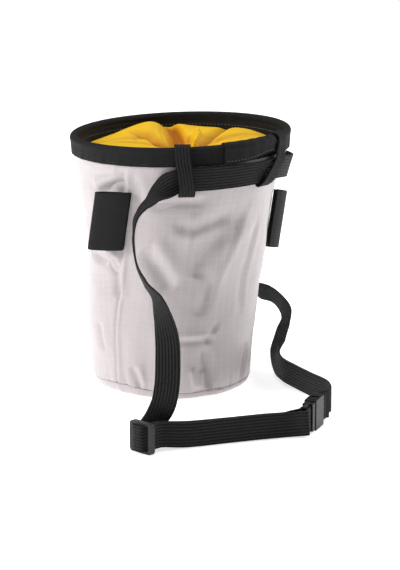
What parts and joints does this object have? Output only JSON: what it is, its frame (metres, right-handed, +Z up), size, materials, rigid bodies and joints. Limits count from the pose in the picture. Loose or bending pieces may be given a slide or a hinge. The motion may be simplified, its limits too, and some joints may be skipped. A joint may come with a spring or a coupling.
{
  "type": "climbing chalk bag with waist belt",
  "caption": "Round ripstop chalk bag with a bound rim, a twisted liner closure, side brush sleeves and a webbing waist belt with slider and buckle.",
  "frame": {"origin": "middle of the flat base, on the surface that the bag stands on", "axes": "+Z up through the rim; -Y is the side towards the wearer, with the belt loops; +X is to the right seen from -Y"},
  "size_m": [0.1924, 0.2253, 0.1673],
  "materials": {
    "ripstop_cloth": "pinkish silver-grey ripstop nylon, soft sheen",
    "binding_tape": "black herringbone binding tape",
    "liner_cloth": "golden yellow gathered liner cloth",
    "webbing": "black ribbed flat webbing",
    "elastic": "black woven elastic",
    "moulded_plastic": "satin black moulded plastic"
  },
  "bodies": {
    "root": {"bag_body": "ripstop_cloth", "base_panel": "ripstop_cloth", "rim_binding": "binding_tape", "rim_tape_join": "binding_tape", "liner_closure": "liner_cloth", "belt_loop_left": "webbing", "belt_loop_right": "webbing", "brush_loop_left": "elastic", "brush_loop_right": "elastic", "slider": "moulded_plastic", "buckle_male": "moulded_plastic", "buckle_female": "moulded_plastic", "belt_webbing": "webbing"}
  },
  "joints": []
}
